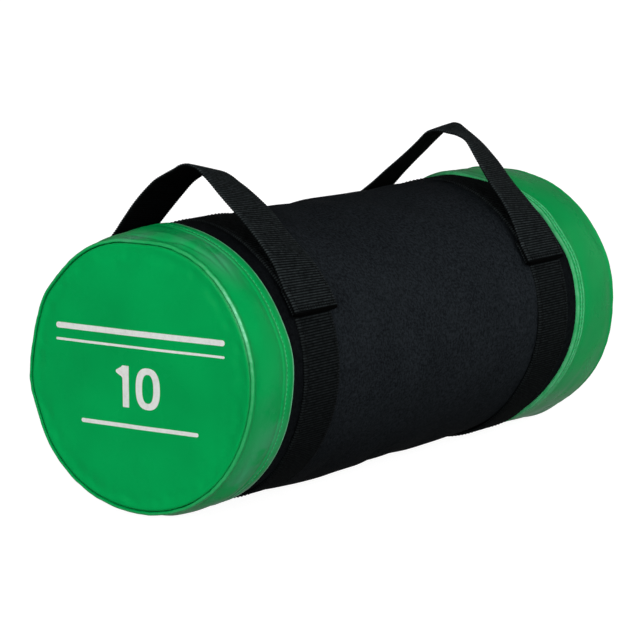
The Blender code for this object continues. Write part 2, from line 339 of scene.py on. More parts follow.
def away_at(angle):
    """Directions out from the bag's axis at angles round it."""
    return around(0 * angle, angle, 1.0) - around(0 * angle, angle, 0.0)


def closed(rows):
    """Rows with the first one once more at the end."""
    return np.vstack([rows, rows[:1]])


def grid_faces(rows, columns, close_rows, close_columns):
    """The faces between the points of a grid, and the row and column where each starts."""
    down = rows if close_rows else rows - 1
    along = columns if close_columns else columns - 1
    row, column = (part.ravel() for part in np.mgrid[0:down, 0:along])
    below, beside = (row + 1) % rows, (column + 1) % columns
    corners = ((row, column), (below, column), (below, beside), (row, beside))
    return np.stack([r * columns + c for r, c in corners], 1), row, column


def grid_mesh(name, places, cloth, close_rows=False, close_columns=False, ends=False):
    """A mesh through a grid of places. cloth gives each grid point its place on the flat cloth, with one
    more row or column where the grid closes. ends fills the first and last columns with a fan."""
    rows, columns = places.shape[:2]
    points = places.reshape(-1, 3)
    faces, row, column = grid_faces(rows, columns, close_rows, close_columns)
    faces = faces.tolist()
    corners = ((row, column), (row + 1, column), (row + 1, column + 1), (row, column + 1))
    flat = np.stack([cloth[corner] for corner in corners], 1).reshape(-1, 2)
    for edge in (0, columns - 1) if ends else ():
        ring = np.arange(rows) * columns + edge
        pair = (ring, np.roll(ring, -1))
        middle = np.full(rows, len(points))
        faces += np.stack([*(pair if edge else pair[::-1]), middle], 1).tolist()
        points = np.vstack([points, places[:, edge].mean(0)])
        flat = np.vstack([flat, np.repeat(cloth[:1, edge], 3 * rows, 0)])
    return mesh_from(name, points, faces, flat)


def mesh_from(name, points, faces, flat=None):
    """A smooth mesh. flat holds the place of each face's corners on the flat cloth."""
    mesh = bpy.data.meshes.new(name)
    mesh.from_pydata(points.tolist(), [], faces)
    if flat is not None:
        layer = mesh.uv_layers.new(name="cloth")
        layer.uv.foreach_set("vector", flat.astype(np.float32).ravel())
    mesh.shade_smooth()
    return mesh


def add_piece(name, mesh, material):
    mesh.materials.append(material)
    piece = bpy.data.objects.new(name, mesh)
    bpy.context.scene.collection.objects.link(piece)
    return piece


def add_bag_piece(name, mesh, material, node=None):
    """A piece that rides on the bag and may replace a solid."""
    piece = add_piece(name, mesh, material)
    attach(piece, "bag")
    if node:
        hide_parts(node)
    return piece


def run_along(path):
    """The length of a path up to each of its points."""
    return np.append(0, np.cumsum(np.linalg.norm(np.diff(path, axis=0), axis=1)))


def read_along(wanted, run, rows):
    """Rows of values along a path, read at wanted lengths."""
    return np.stack([np.interp(wanted, run, part) for part in rows.T], 1)


def set_shade(mesh, **shades):
    """Stores values for each vertex, such as how much painted shade, painted highlight and painted
    reflection it has, which the materials read.
    """
    for name, values in shades.items():
        layer = mesh.attributes.new(name, "FLOAT", "POINT")
        layer.data.foreach_set("value", values.astype(np.float32).ravel())


def even_path(points, spacing):
    """A smooth curve through points, cut at even steps."""
    held = np.vstack([2 * points[0] - points[1], points, 2 * points[-1] - points[-2]])
    fine = np.linspace(0, 1, 24, endpoint=False)[:, None]
    dense = []
    for a, b, c, d in zip(held, held[1:], held[2:], held[3:]):
        bend = (2 * a - 5 * b + 4 * c - d) * fine**2 + (3 * b - a - 3 * c + d) * fine**3
        dense.append(0.5 * (2 * b + (c - a) * fine + bend))
    dense = np.vstack([*dense, points[-1:]])
    run = run_along(dense)
    return read_along(np.linspace(0, run[-1], max(2, round(run[-1] / spacing) + 1)), run, dense)


def unit(vectors):
    return vectors / np.linalg.norm(vectors, axis=-1, keepdims=True)


# Materials


def scaled(colour, factor, more=0.0):
    return tuple(part * factor + more for part in colour)


class Nodes:
    """Adds nodes to the tree of a material or of the world."""

    def __init__(self, tree):
        self.tree = tree

    def give(self, socket, value):
        """Sets an input, or links it where the value is another node's output."""
        if isinstance(value, bpy.types.NodeSocket):
            self.tree.links.new(value, socket)
        else:
            socket.default_value = value

    def add(self, kind, inputs=(), **settings):
        node = self.tree.nodes.new("ShaderNode" + kind)
        for key, value in settings.items():
            setattr(node, key, value)
        for key, value in dict(inputs).items():
            self.give(node.inputs[key], value)
        return node

    def math(self, operation, *values):
        return self.add("Math", enumerate(values), operation=operation).outputs[0]

    def times(self, first, second):
        return self.math("MULTIPLY", first, second)

    def backdrop(self, glow, mirrored, light=0.0):
        """A white backdrop's glow as the camera sees it, its share in the bag's sheen and its light."""
        path = self.add("LightPath").outputs
        sheen = self.math("MULTIPLY_ADD", path["Is Glossy Ray"], mirrored, light)
        seen = self.math("MAXIMUM", path["Is Camera Ray"], sheen)
        return self.times(self.math("MAXIMUM", seen, path["Is Transmission Ray"]), glow)


class Finish(Nodes):
    """Builds the nodes of one material."""

    def __init__(self, name, base, roughness, **constants):
        self.material = bpy.data.materials.new(name)
        self.material.use_nodes = True
        self.material.diffuse_color = (*base, 1)
        super().__init__(self.material.node_tree)
        self.shader = self.tree.nodes["Principled BSDF"]
        self.set("Base Color", (*base, 1))
        self.set("Roughness", roughness)
        for key, value in constants.items():
            self.set(key.replace("_", " "), value)
        self.place = self.add("TexCoord").outputs["Object"]

    def set(self, socket, value):
        self.give(self.shader.inputs[socket], value)

    def noise(self, scale, detail=2, roughness=0.5, place=None):
        inputs = {"Vector": place or self.place, "Scale": scale, "Detail": detail, "Roughness": roughness}
        return self.add("TexNoise", inputs).outputs["Fac"]

    def remap(self, value, low, high, new_low, new_high):
        inputs = enumerate((value, low, high, new_low, new_high))
        return self.add("MapRange", inputs).outputs["Result"]

    def blend(self, share, first, second):
        """A mix of two colours, each a tuple or another node's output."""
        pair = ((*colour, 1) if isinstance(colour, tuple) else colour for colour in (first, second))
        return self.add("Mix", zip((0, 6, 7), (share, *pair)), data_type="RGBA").outputs[2]

    def paint(self, share, first, second):
        self.set("Base Color", self.blend(share, first, second))

    def attribute(self, name):
        return self.add("Attribute", attribute_name=name).outputs["Fac"]

    def cloth_place(self, pitch):
        """The place on the flat cloth, counted in threads."""
        flat = self.add("UVMap", uv_map="cloth").outputs["UV"]
        counted = self.add("VectorMath", {0: flat, "Scale": 1 / pitch}, operation="SCALE").outputs[0]
        split = self.add("SeparateXYZ", {0: counted})
        return split.outputs[0], split.outputs[1]

    def thread_arch(self, count):
        """0 between two threads and 1 on top of one."""
        return self.math("ABSOLUTE", self.math("SINE", self.times(count, math.pi)))

    def weave(self, along, across):
        return self.times(self.thread_arch(along), self.thread_arch(across))

    def slubs(self, thread, along, scale):
        """Lighter and darker stretches along each thread, from its number and the place along it."""
        place = self.add("CombineXYZ", {"X": self.times(thread, 7.31), "Y": along})
        stretched = self.add("VectorMath", {0: place.outputs[0], 1: (1, scale, 1)}, operation="MULTIPLY")
        return self.noise(1, place=stretched.outputs[0])

    def relief(self, *layers):
        """Stacks bumps, each (height, strength, distance), and gives the finished material."""
        normal = None
        for layer in layers:
            inputs = dict(zip(("Height", "Strength", "Distance"), layer))
            if normal:
                inputs["Normal"] = normal
            normal = self.add("Bump", inputs).outputs["Normal"]
        self.set("Normal", normal)
        return self.material


def vinyl_material(name, base, shaded_colour, worn, reflection_colour):
    """Glossy coated vinyl over a woven backing, its tone varied at random. It has painted shade deep in
    its seams, painted highlights along its folded edges and rim, and painted reflections in soft grey
    patches."""
    finish = Finish(name, base, 0.28, Specular_IOR_Level=0.05)
    cloudy = finish.remap(finish.noise(14, 3), 0.3, 0.7, 0, 1)
    tone = finish.blend(cloudy, scaled(base, 0.9), scaled(base, 1.08))
    clouds = finish.remap(finish.noise(38, 4, 0.6), 0.42, 0.54, 0.2, 1)
    # Painted reflection: soft grey patches, broken up by cloudy noise
    tone = finish.blend(finish.times(finish.attribute("haze"), clouds), tone, reflection_colour)
    broken = finish.remap(finish.noise(160, 3, 0.6), 0.35, 0.6, 0.45, 1)
    # Painted highlight: paler along folded edges, beside stitch rows and on the rim, broken up by noise
    tone = finish.blend(finish.times(finish.attribute("edge_wear"), broken), tone, worn)
    # Painted shade: darker deep in the seams
    finish.paint(finish.attribute("seam_depth"), tone, shaded_colour)
    finish.set("Roughness", finish.remap(finish.noise(45, 4), 0.3, 0.7, 0.23, 0.36))
    skin = finish.noise(900)
    along, across = finish.cloth_place(0.0011)
    return finish.relief((finish.weave(along, across), 0.04, 0.0002), (skin, 0.04, 0.0003))


def woven_material(name, base, light):
    """Coarse plain weave of filament yarn, whose threads have slubs and catch light on top."""
    finish = Finish(name, base, 0.8, Specular_IOR_Level=0.01)
    along, across = finish.cloth_place(0.00085)
    height = finish.math("POWER", finish.weave(along, across), 0.6)
    warp = finish.slubs(finish.math("FLOOR", along), across, 0.16)
    weft = finish.slubs(finish.math("FLOOR", across), along, 0.16)
    mottle = finish.noise(520, 2, 0.6)
    specks = finish.remap(mottle, 0.36, 0.64, 0, 0.55)
    threads = finish.remap(finish.math("ADD", warp, weft), 0.7, 1.3, 0, 0.35)
    cloud = finish.remap(finish.noise(24, 3), 0.35, 0.65, 0, 0.1)
    mixed = finish.math("ADD", finish.math("ADD", specks, threads), cloud)
    tone = finish.blend(finish.times(mixed, finish.remap(height, 0, 1, 0.45, 1)), base, light)
    # Painted shade: nearly black on the cover's top and underside; also darker between each band and its
    # cap
    shaded = finish.times(finish.attribute("seam_depth"), 0.8)
    finish.paint(shaded, tone, (0.001, 0.001, 0.001))
    return finish.relief((height, 0.6, 0.00025), (mottle, 0.4, 0.0005))


def webbing_material(name, base, light, shaded_colour):
    """Woven webbing: its ribs are in the mesh, each with a tone and flecks of its own, and its yarns run
    along it over them."""
    finish = Finish(name, base, 0.75, Specular_IOR_Level=0.01)
    along, across = finish.cloth_place(RIB_PITCH)
    counted = finish.math("ADD", along, 0.5)
    rib = finish.thread_arch(counted)
    yarn = finish.thread_arch(finish.times(across, 3))
    flecks = finish.slubs(finish.math("FLOOR", counted), across, 0.45)
    fuzz = finish.noise(900, 3, 0.7)
    tone = finish.math("ADD", finish.times(flecks, 1.1), finish.times(fuzz, 0.7))
    # Painted highlight and shade: the tops of the ribs are painted lighter and the grooves between them
    # darker
    share = finish.times(finish.remap(tone, 0.6, 1.2, 0.1, 1), finish.math("POWER", rib, 2.2))
    # Painted glints on the selvage's loops
    selvage_glint = finish.times(finish.attribute("selvage"), finish.math("POWER", rib, 1.5))
    tone = finish.blend(share, base, light)
    tone = finish.blend(finish.times(selvage_glint, 0.12), tone, scaled(light, 2))
    # Painted shade and shadow where the painted shade attribute is high
    finish.paint(finish.attribute("seam_depth"), tone, shaded_colour)
    return finish.relief((yarn, 0.35, 0.0002), (fuzz, 0.3, 0.0003))


def thread_material(name, base):
    """Twisted sewing thread, painted lighter on the crests of its twist as a painted highlight."""
    finish = Finish(name, base, 0.6, Specular_IOR_Level=0.03)
    twist = finish.thread_arch(finish.math("ADD", *finish.cloth_place(0.0005)))
    finish.paint(twist, base, scaled(base, 1.6, 0.001))
    return finish.relief((twist, 0.5, 0.0001))


def ink_material(name, base):
    """Screen-printed ink that sits thinly on the vinyl and wears a little."""
    finish = Finish(name, base, 0.4, Specular_IOR_Level=0.3)
    worn = finish.noise(320, 4, 0.7)
    finish.paint(finish.remap(worn, 0.45, 0.75, 0, 1), base, scaled(base, 0.86))
    return finish.relief((worn, 0.1, 0.0002))


def grain_material(name, base, light, scale, roughness):
    """Foam, film, sand or band inside the bag: one grain of a given size."""
    finish = Finish(name, base, roughness)
    grain = finish.noise(scale, 3, 0.7)
    finish.paint(finish.remap(grain, 0.35, 0.65, 0, 1), base, light)
    return finish.relief((grain, 0.4, 0.3 / scale))


# The vinyl's darker colour is its painted shade in seams, its paler colour its painted highlight and its
# greyer colour its painted reflection.
GREEN = vinyl_material(
    "green_vinyl_gloss",
    base=(0.0, 0.348, 0.078),
    shaded_colour=(0.0, 0.29, 0.066),
    worn=(0.3, 0.8, 0.5),
    reflection_colour=(0.06, 0.33, 0.158),
)
WOVEN = woven_material("black_weave", (0.0036, 0.005, 0.0064), (0.032, 0.039, 0.0455))
# The webbing's last colour is its painted shade.
WEBBING = webbing_material(
    "black_webbing_ribs", (0.0018, 0.0024, 0.0026), (0.039, 0.048, 0.05), (0.0006, 0.0007, 0.0007)
)
BLACK_THREAD = thread_material("black_sewing_thread", (0.002, 0.0023, 0.0024))
GREEN_THREAD = thread_material("green_sewing_thread", (0.022, 0.43, 0.14))
INK = ink_material("white_ink", (0.78, 0.8, 0.77))
INSIDE = {
    "grey_foam": grain_material("foam_cells", (0.2, 0.21, 0.22), (0.3, 0.31, 0.32), 1500, 0.9),
    "liner_film": grain_material("crinkled_film", (0.62, 0.64, 0.62), (0.74, 0.76, 0.74), 120, 0.35),
    "filling": grain_material("sand_and_crumb", (0.12, 0.1, 0.08), (0.42, 0.35, 0.26), 1100, 0.95),
    "tie_band": grain_material("tie_nylon", (0.5, 0.5, 0.48), (0.66, 0.66, 0.64), 400, 0.45),
}


# Stitches


def stitch_mesh(name, middles, along, out):
    """Rounded stitches at given middles, each lying along its own direction on cloth that faces out."""
    steps = np.linspace(-1, 1, STITCH_SLICES)
    turns = np.linspace(0, math.tau, STITCH_SIDES, endpoint=False)
    fat = THREAD_RADIUS * np.sqrt(np.maximum(1 - steps**4, 0.05))[:, None]
    lift = fat * np.sin(turns) + (THREAD_RADIUS * (0.5 - 1.3 * steps**2))[:, None]
    lengths = (steps * STITCH_LENGTH / 2)[:, None] + 0 * turns
    along = unit(along)
    sideways = unit(np.cross(along, out))
    shape = middles[:, None, None]
    up = np.cross(sideways, along)
    for direction, reach in ((along, lengths), (sideways, fat * np.cos(turns)), (up, lift)):
        shape = shape + direction[:, None, None] * reach[..., None]
    quads = grid_faces(STITCH_SLICES, STITCH_SIDES, False, True)[0]
    starts = lengths.size * np.arange(len(middles))[:, None]
    tip = np.arange(STITCH_SIDES)
    faces = (quads + starts[..., None]).reshape(-1, 4).tolist()
    faces += (tip + starts).tolist() + (lengths.size - 1 - tip + starts).tolist()
    local = stacked(lengths, turns * THREAD_RADIUS).reshape(-1, 2)
    corners = np.array([corner for face in faces for corner in face])
    return mesh_from(name, shape.reshape(-1, 3), faces, local[corners % lengths.size])


def spaced_stitches(path, out):
    """Middles, directions and outward directions of stitches along a dense path."""
    run = run_along(path)
    count = max(1, round(run[-1] / STITCH_PITCH))
    wanted = (np.arange(count) + 0.5) * run[-1] / count
    return [read_along(wanted, run, rows) for rows in (path, np.gradient(path, axis=0), out)]


def add_stitches(name, rows, node=None, thread=BLACK_THREAD):
    """One piece with all the stitches of several (path, out) rows."""
    parts = zip(*(spaced_stitches(path, out) for path, out in rows))
    middles, along, out = (np.vstack(part) for part in parts)
    mesh = stitch_mesh(name, middles, along, unit(out))
    add_bag_piece(name, mesh, thread, node)


# Woven cover


def cover_radius(x, angle):
    """The cover's radius before it is inflated: a soft bulge between the bands, and the lap seam."""
    low, high = BANDS["near"][1], BANDS["far"][0]
    share = np.clip(1 - ((2 * x - low - high) / (high - low)) ** 2, 0, 1)
    drop = sag(x, angle)
    level = COVER_RADIUS - COVER_BULGE + COVER_BULGE * np.sqrt(share)
    radius = settled(level, angle, np.maximum(drop, 0))
    away = np.radians(turned(angle, SEAM_ANGLE)) * COVER_RADIUS
    lap = step_up(away, -SEAM_HALF_WIDTH, 0.0012) * (1 - step_up(away, SEAM_HALF_WIDTH - 0.0004, 0.0004))
    return radius + drop + SEAM_RISE * lap


def band_middles(angle):
    """Where the middle of each girth band lies along the bag."""
    return [sum(BANDS[name]) / 2 + varied(0, BAND_BUMPS[name], angle) for name in ENDS]


def sag(x, angle):
    """How far the underside of the bag's front drops or draws in: the near end is drawn in under its cap
    and band, and the cover hangs in a fold beyond them."""
    near = step_up(x, -0.242, 0.03) * (1 - step_up(x, -0.17, 0.04))
    far = step_up(x, 0.1, 0.03) * (1 - step_up(x, 0.178, 0.02))
    fold = np.clip((x + 0.14) / 0.07, 0, 1) * (1 - step_up(x, -0.027, 0.007))
    drop = 0.0022 * fold - 0.0047 * near - 0.0011 * far
    return drop * bump(angle, 166, 15)


def held_share(x, angle):
    """1 where the cover is sewn under a band or a cap, and 0 where it is free."""
    held = np.zeros((angle.size, x.size), bool)
    for name, middle in zip(ENDS, band_middles(angle)):
        cap = CAPS[name]
        held |= np.abs(x - middle) < BAND_WIDTH / 2
        held |= END_X - cap["side"] * x < varied(cap["width"], cap["width_bumps"], angle)
    return held


def cover_shade(x, angle):
    """How dark the cover is painted: painted shade on its underside and on top, and darker between each
    band and its cap.
    """
    near, far = band_middles(angle)
    shade = step_up(near - x, -0.01, 0.02) + step_up(x - far, -0.01, 0.02)
    return np.maximum(0.85 * shade, 0.95 * bump(angle, 172, 58) + 0.5 * bump(angle, -5, 42))


def inflate(places, held):
    """Runs the grid as cloth under a little pressure, and returns where its points settle."""
    mesh = grid_mesh("cover_cloth", places, np.zeros((places.shape[0] + 1, places.shape[1], 2)), True)
    piece = add_piece("cover_cloth", mesh, WOVEN)
    piece.vertex_groups.new(name="held").add(np.flatnonzero(held).tolist(), 1.0, "REPLACE")
    cloth = piece.modifiers.new("Cloth", "CLOTH")
    for key, value in CLOTH_SETTINGS.items():
        setattr(cloth.settings, key, value)
    cloth.settings.effector_weights.gravity = 0
    cloth.collision_settings.use_collision = False
    cloth.point_cache.frame_end = CLOTH_FRAMES
    scene = bpy.context.scene
    for number in range(1, CLOTH_FRAMES + 1):
        scene.frame_set(number)
    ended = piece.evaluated_get(bpy.context.evaluated_depsgraph_get()).data
    found = np.zeros(places.size, np.float32)
    ended.vertices.foreach_get("co", found)
    scene.frame_set(1)
    bpy.data.objects.remove(piece)
    out = outward(places)
    rise = ((found.reshape(places.shape) - places) * out).sum(-1, keepdims=True)
    return places + np.clip(rise, -CLOTH_SINK, CLOTH_SWELL) * out


def tube_mesh(name, places, x):
    """A closed tube along the bag, whose outer and inner walls run along x."""
    ring = np.linspace(0, math.tau * COVER_RADIUS, len(places) + 1)[:, None]
    return grid_mesh(name, places, stacked(np.append(x, x[:, :1], 1), ring), True, True)


def make_cover():
    """The woven tube, inflated between its seams, with a lining wall inside it."""
    x = np.linspace(COVER_LOW.x, COVER_HIGH.x, COVER_STEPS)[None, :]
    angle = all_round(COVER_RINGS)
    places = around(x, angle, cover_radius(x, angle))
    places += COVER_WAVE * ripples(places, 0.03, 0.09, 5)[..., None] * away_at(angle)
    places = inflate(places, held_share(x, angle))
    places[..., 2] = np.maximum(places[..., 2], 0)
    inner_x = np.linspace(COVER_HIGH.x, COVER_LOW.x, 12)[None, :]
    level = settled(COVER_RADIUS - COVER_WALL, angle) + sag(inner_x, angle) - 0.0006
    inner = around(inner_x, angle, level)
    x = np.append(x, inner_x, 1)
    mesh = tube_mesh("woven_cover", np.append(places, inner, 1), x)
    set_shade(mesh, seam_depth=cover_shade(x, angle))
    piece = add_bag_piece("woven_cover", mesh, WOVEN, "body_cover")
    smooth = piece.modifiers.new("Subdivision", "SUBSURF")
    smooth.levels = smooth.render_levels = 1
    x = np.linspace(COVER_LOW.x, COVER_HIGH.x, 400)
    rows = []
    for side in (-1, 1):
        at = SEAM_ANGLE + side * math.degrees((SEAM_HALF_WIDTH - 0.0022) / COVER_RADIUS) + 0 * x
        rows.append((around(x, at, cover_radius(x, at)), away_at(at)))
    add_stitches("cover_seam_stitches", rows)


def make_foam():
    """The foam tube that lines the cover and the caps, pressed in where they are drawn in."""
    low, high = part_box("foam_liner")
    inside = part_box("inner_bag")[1].y + FOAM_GAP
    x = np.linspace(low.x, high.x, 160)[None, :]
    inner_x = np.linspace(high.x, low.x, 10)[None, :]
    angle = all_round(120)
    ends = (low.x, COVER_LOW.x, COVER_HIGH.x, high.x)
    level = np.interp(x, ends, (FOAM_END, high.y, high.y, FOAM_END)) - FOAM_GAP
    outer = settled(level, angle) + np.minimum(sag(x, angle), 0)
    outer -= 0.0002 * (1 + ripples(around(x, angle, outer), 0.02, 0.06, 41).clip(-1, 1))
    inner = settled(inside, angle) + 0 * inner_x
    x = np.append(x, inner_x, 1)
    mesh = tube_mesh("foam_lining", around(x, angle, np.append(outer, inner, 1)), x)
    add_bag_piece("foam_lining", mesh, INSIDE["grey_foam"], "foam_liner")


# Vinyl caps


def side_profile(cap, angle):
    """The section of a cap's side at each angle: its width, the radii of its hem and rim, and then, from
    the hem's fold to the rim, each place, its share of the panel and its radius."""
    width = varied(cap["width"], cap["width_bumps"], angle)
    hem = settled(varied(HEM_RADIUS - 0.0003, cap["hem_bumps"], angle), angle)
    rim = varied(cap["rim"], cap["rim_bumps"], angle)
    start = HEM_WIDTH + 0.003
    hem_part = np.linspace(HEM_LIP, start, 44) + 0 * angle
    panel_part = start + np.linspace(0, 1, 52)[1:] * (width - RIM_ROLL - start)
    run = np.append(hem_part, panel_part, 1)
    across = np.clip((run - HEM_WIDTH) / (width - RIM_ROLL - HEM_WIDTH), 0, 1)
    radius = hem + (rim - hem) * step_up(across, 0, 1)
    radius += cap_belly(angle, across)
    radius += 0.0003 * np.sin(np.clip(run / HEM_STITCH, 0, 1) * math.pi)
    radius += sag(cap["side"] * (END_X - width + run), angle)
    for row in cap["hem_rows"]:
        radius -= 0.0005 * hill(run - row, 0.0008)
    radius += HEM_STEP * (1 - step_up(run, HEM_WIDTH - 0.0008, 0.0016))
    back = width - run
    radius -= ROLL_BEAD * step_up(back, RIM_ROLL * 0.6, 0.003) * step_up(-back, -0.016, 0.012)
    return width, hem, rim, run, across, radius


def cap_belly(angle, across):
    """The padded side swells a little between its hem and its rim."""
    return 0.0011 * np.sin(across * math.pi) * (1 + 0.3 * np.sin(np.radians(angle * 3 + 40)))


def fold_field(folds, angle, across, width):
    """Soft folds across a cap's side."""
    total = 0
    for depth, middle, half, place, slope, spread in folds:
        away = turned(angle, middle)
        total -= depth * hill(away, half) * hill((across - place - slope * away) * width, spread)
    return total


def make_cap_side(name, node):
    """A cap's side: the hem's fold, the panel, the rolled rim, the groove and the inner wall."""
    cap = CAPS[name]
    side = cap["side"]
    angle = all_round(CAP_STEPS)
    width, hem, rim, run, across, radius = side_profile(cap, angle)
    radius += fold_field(FOLDS[name], angle, across, width)
    places = around(side * (END_X - width + run), angle, radius)
    soft = step_up(run, HEM_WIDTH, 0.006) * step_up(width - run, 0.001, 0.008)
    pucker = hill(run - HEM_STITCH, 0.004) + hill(width - run - RIM_ROLL, 0.006)
    radius += cap["slack"] * soft * ripples(places, 0.02, 0.06, cap["seed"])
    drawn = ripples(places * (0.3, 1, 1), 0.006, 0.014, cap["seed"] + 1)
    radius += cap["pucker"] * pucker * drawn
    tucked = hem + sag(side * (END_X - width), angle) - HEM_THICKNESS
    fold = np.radians(np.linspace(250, 100, 9))
    roll = np.radians(np.linspace(82, -8, 12))
    end = radius[:, -1:]
    share = np.linspace(0, 1, 12)
    wall_radius = (rim - GROOVE_INSET - 0.0001) * (1 - share) + tucked * share
    sections = (
        (HEM_LIP * (1 + np.cos(fold)) + 0 * angle, tucked + HEM_THICKNESS / 2 * (1 + np.sin(fold))),
        (run, radius),
        (width - RIM_ROLL * (1 - np.cos(roll)), end - RIM_ROLL * (1 - np.sin(roll))),
        (width - (0.0006, 0.0016, 0.0032), end - GROOVE_INSET + (0.0003, 0.0001, 0)),
        ((width - 0.0034) * (1 - share) + 0.006 * share, wall_radius),
    )
    runs, radii = (np.concatenate(part, 1) for part in zip(*sections))
    places = around(side * (END_X - width + runs), angle, radii)
    ring = np.radians(np.append(angle, 180) + 180)[:, None] * HEM_RADIUS
    flat_run = closed(runs)
    cloth = stacked(np.append(flat_run, flat_run[:, :1], 1), ring)
    mesh = grid_mesh(node, places[::side], cloth[::side], True, True)
    # Painted shade deep in the rim's groove
    depth = np.zeros(runs.shape)
    groove_at = fold.size + run.shape[1] + roll.size
    depth[:, groove_at - 2:groove_at + 3] = (0.3, 0.7, 1, 1, 1)
    # Painted highlights along the hem's fold, beside the stitch rows and on the rolled rim
    wear = side_highlight(cap, angle, runs, width)
    wear[:, :fold.size] = 0.6 * cap["fold_highlight"]
    wear[:, groove_at - 2:] = 0
    # Painted reflections in soft grey patches
    haze = side_haze(PAINTED_REFLECTIONS[name], angle, runs / width)
    set_shade(mesh, seam_depth=depth[::side], edge_wear=wear[::side], haze=haze[::side])
    add_bag_piece(name + "_cap_band", mesh, GREEN, node)
    make_hem_stitches(name, cap, angle[:, 0], run, width[:, 0], radius)


def rim_highlight(cap, angle):
    """How strong the painted highlight on the rolled rim is: most on the front of the near cap."""
    return 0.1 + cap["rim_highlight"] * bump(angle, 62, 19)


def side_highlight(cap, angle, run, width):
    """How strong the painted highlights on a cap's side are: along its hem's fold, beside its rows of
    stitches and at its rim.
    """
    wear = cap["fold_highlight"] * hill(run - 0.0012, 0.0009)
    for row in cap["hem_rows"]:
        wear += cap["row_highlight"] * hill(run - row - 0.0009, 0.0006)
    return np.minimum(wear + rim_highlight(cap, angle) * hill(width - run - 0.0005, 0.0007), 1)


def side_haze(patches, angle, share):
    """How much painted reflection a cap's side has, in soft grey patches."""
    total = 0
    for strength, middle, spread, place, reach in patches:
        total += strength * bump(angle, middle, spread) * hill(share - place, reach)
    return np.minimum(total, 1)


def make_hem_stitches(name, cap, angle, run, width, radius):
    rows = []
    for row in cap["hem_rows"]:
        level = radius[:, np.abs(run[0] - row).argmin()] - 0.0001
        path = around(cap["side"] * (END_X - width + row), angle, level)
        rows.append((closed(path), closed(away_at(angle))))
    add_stitches(name + "_hem_stitches", rows, thread=GREEN_THREAD)


def disc_outline(cap, angle):
    return varied(cap["rim"], cap["rim_bumps"], angle) - GROOVE_INSET - 0.0003


def face_depth(name, y, z):
    """How far past the end plane the face of a disc stands, at a place on it."""
    cap = CAPS[name]
    reach = disc_outline(cap, np.degrees(np.arctan2(-y, z))) - DISC_ROLL
    out = np.hypot(y, z)
    share = np.clip(out / reach, 0, 1)
    places = np.stack([0 * y, y, z], -1)
    wave = 0.00035 * ripples(places, 0.035, 0.11, cap["seed"] + 5) * (1 - share**4)
    pucker = 0.0002 * ripples(places, 0.008, 0.02, cap["seed"] + 6) * hill(reach - out, 0.012)
    valley = -0.0004 * hill(reach - out - 0.005, 0.004)
    relief = (wave + pucker + valley) * step_up(reach - out, 0, 0.003)
    return (DISC_DOME - 0.0004) * (1 - share**2) + relief


def make_cap_disc(name, node):
    """The vinyl disc that closes a cap, with a rolled edge down in the groove and a flat back."""
    cap = CAPS[name]
    side = cap["side"]
    angle = all_round(CAP_STEPS)
    turn = np.radians(angle)
    outline = disc_outline(cap, angle)
    roll = np.radians(np.linspace(105, 0, 14))
    back = np.linspace(0.02, 0.995, 10)
    face = (outline - DISC_ROLL) * np.linspace(1, 0, 70)[1:-1]
    sections = (
        (outline * back, 0 * angle * back - 0.0075),
        (outline - (0.0002, 0.0004, 0.0003), 0 * angle + (-0.0072, -0.005, -0.0032)),
        (outline - DISC_ROLL * (1 - np.sin(roll)), 0 * angle - DISC_ROLL * (1 - np.cos(roll))),
        (face, face_depth(name, -face * np.sin(turn), face * np.cos(turn))),
    )
    radii, outs = (np.concatenate(part, 1) for part in zip(*sections))
    places = around(side * (END_X + outs), angle, radii)
    cloth = closed(np.stack([-radii * np.sin(turn), radii * np.cos(turn)], -1))
    mesh = grid_mesh(node, places[::side], cloth[::side], True, False, ends=True)
    # Painted shade down in the groove and on the hidden back
    depth = np.zeros(radii.shape)
    rim_at = back.size + 7
    depth[:, :rim_at] = 1
    depth[:, rim_at:rim_at + 2] = (0.5, 0.15)
    # Painted highlight on the disc's rolled edge
    wear = np.zeros(radii.shape)
    wear[:, rim_at + 1:rim_at + 6] = rim_highlight(cap, angle) * (0.4, 0.45, 0.3, 0.15, 0.05)
    depth, wear = np.append(depth[::side], (1, 0)), np.append(wear[::side], (0, 0))
    set_shade(mesh, seam_depth=depth, edge_wear=wear, haze=0 * depth)
    add_bag_piece(name + "_cap_face", mesh, GREEN, node)


# Print


def slab(grid, is_ring):
    """Points and faces of a slab of ink on the near face, from a grid of (right, up) places there."""
    y, z = -grid[..., 0], grid[..., 1]
    out = END_X + face_depth("near", y, z)
    layers = [stacked(-out - rise, y, AXIS_HEIGHT + z) for rise in (PRINT_RISE, -0.0001)]
    rows, columns = grid.shape[:2]
    faces = grid_faces(rows, columns, is_ring, False)[0]
    number = np.arange(rows * columns).reshape(rows, columns)
    if is_ring:
        edges = [closed(number)[:, 0], closed(number)[::-1, -1]]
    else:
        edges = [number[:, 0], number[::-1, -1], number[0, ::-1], number[-1]]
    below = rows * columns
    sides = [np.stack([edge[:-1], edge[:-1] + below, edge[1:] + below, edge[1:]], 1) for edge in edges]
    return np.reshape(layers, (-1, 3)), np.vstack([faces, faces[:, ::-1] + below, *sides])


def bar_rows(right, up, length, height):
    """A rule with rounded ends."""
    end = height / 2
    turn = np.radians(np.linspace(8, 90, 9))[:-1]
    straight = np.linspace(-1, 1, 60) * (length / 2 - end)
    cap_end = length / 2 - end + end * np.cos(turn)
    along = np.concatenate([-cap_end, straight, cap_end[::-1]])[:, None]
    tall = end * np.concatenate([np.sin(turn), np.ones(60), np.sin(turn[::-1])])[:, None]
    return stacked(right + along, up + tall * np.linspace(-1, 1, 3))


